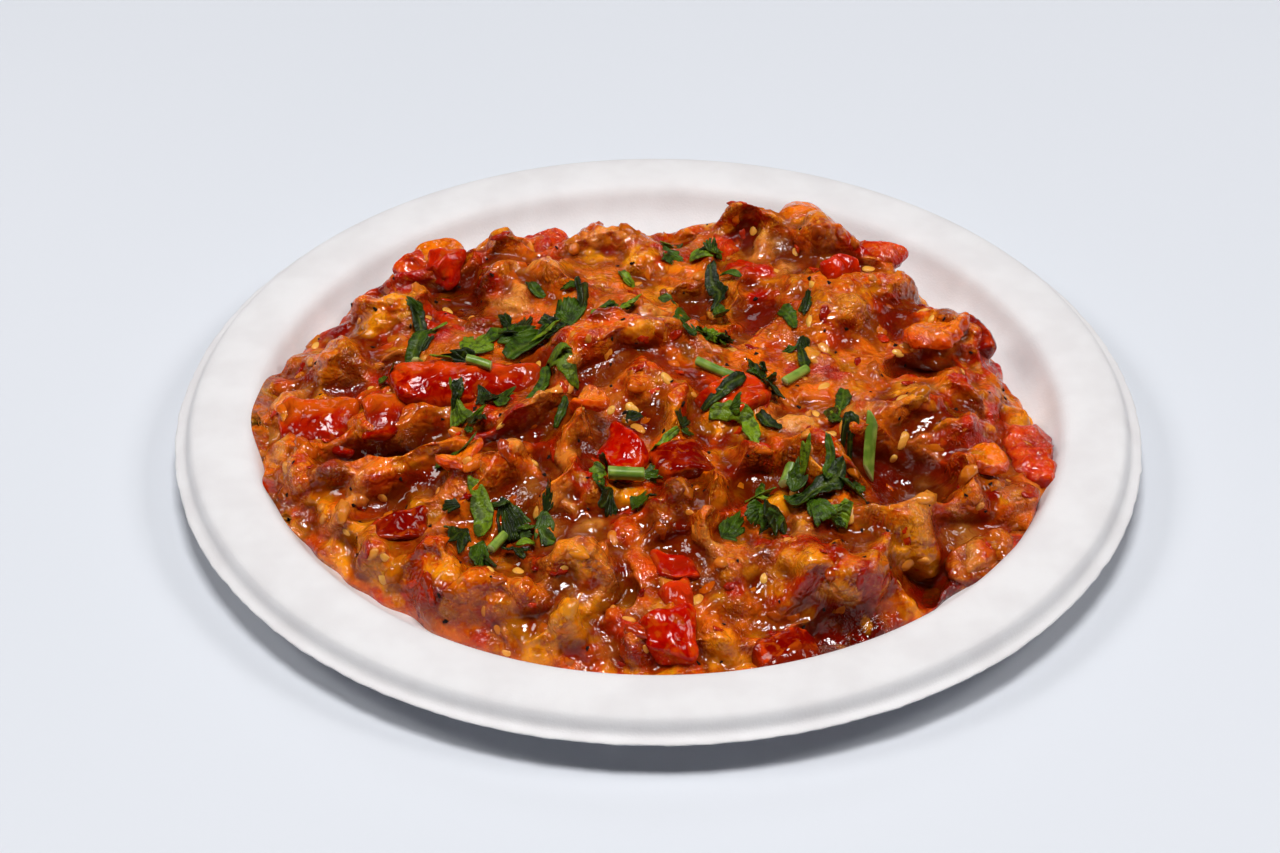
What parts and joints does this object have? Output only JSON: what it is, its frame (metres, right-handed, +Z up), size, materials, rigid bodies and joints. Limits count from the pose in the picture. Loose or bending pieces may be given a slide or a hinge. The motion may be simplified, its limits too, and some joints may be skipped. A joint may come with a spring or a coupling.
{
  "type": "baba ganoush",
  "caption": "Chunky mashed aubergine and red pepper dip, heaped on a shallow round moulded-pulp plate and topped with chopped parsley.",
  "frame": {"origin": "middle of the plate's foot, on the surface it stands on", "axes": "+Z up, -Y towards the front from which it is shown"},
  "size_m": [0.178, 0.178, 0.0291],
  "materials": {
    "pulp": "white moulded plant fibre, matt with a fine felt texture",
    "mash": "wet, oily mash of roasted aubergine and red pepper, with seeds and ground pepper",
    "parsley": "fresh chopped parsley, dark green leaves and light green stalks"
  },
  "bodies": {
    "root": {"pulp_plate": "pulp", "aubergine_mash": "mash", "parsley_bunch_01": "parsley", "parsley_bunch_02": "parsley", "parsley_bunch_03": "parsley", "parsley_bunch_04": "parsley", "parsley_bunch_05": "parsley", "parsley_bunch_06": "parsley", "parsley_bunch_07": "parsley", "parsley_bunch_08": "parsley", "parsley_bunch_09": "parsley", "parsley_bunch_10": "parsley", "parsley_bunch_11": "parsley", "parsley_bunch_12": "parsley", "parsley_bunch_13": "parsley", "parsley_bunch_14": "parsley", "parsley_bunch_15": "parsley", "parsley_bunch_16": "parsley", "parsley_bunch_17": "parsley"}
  },
  "joints": []
}
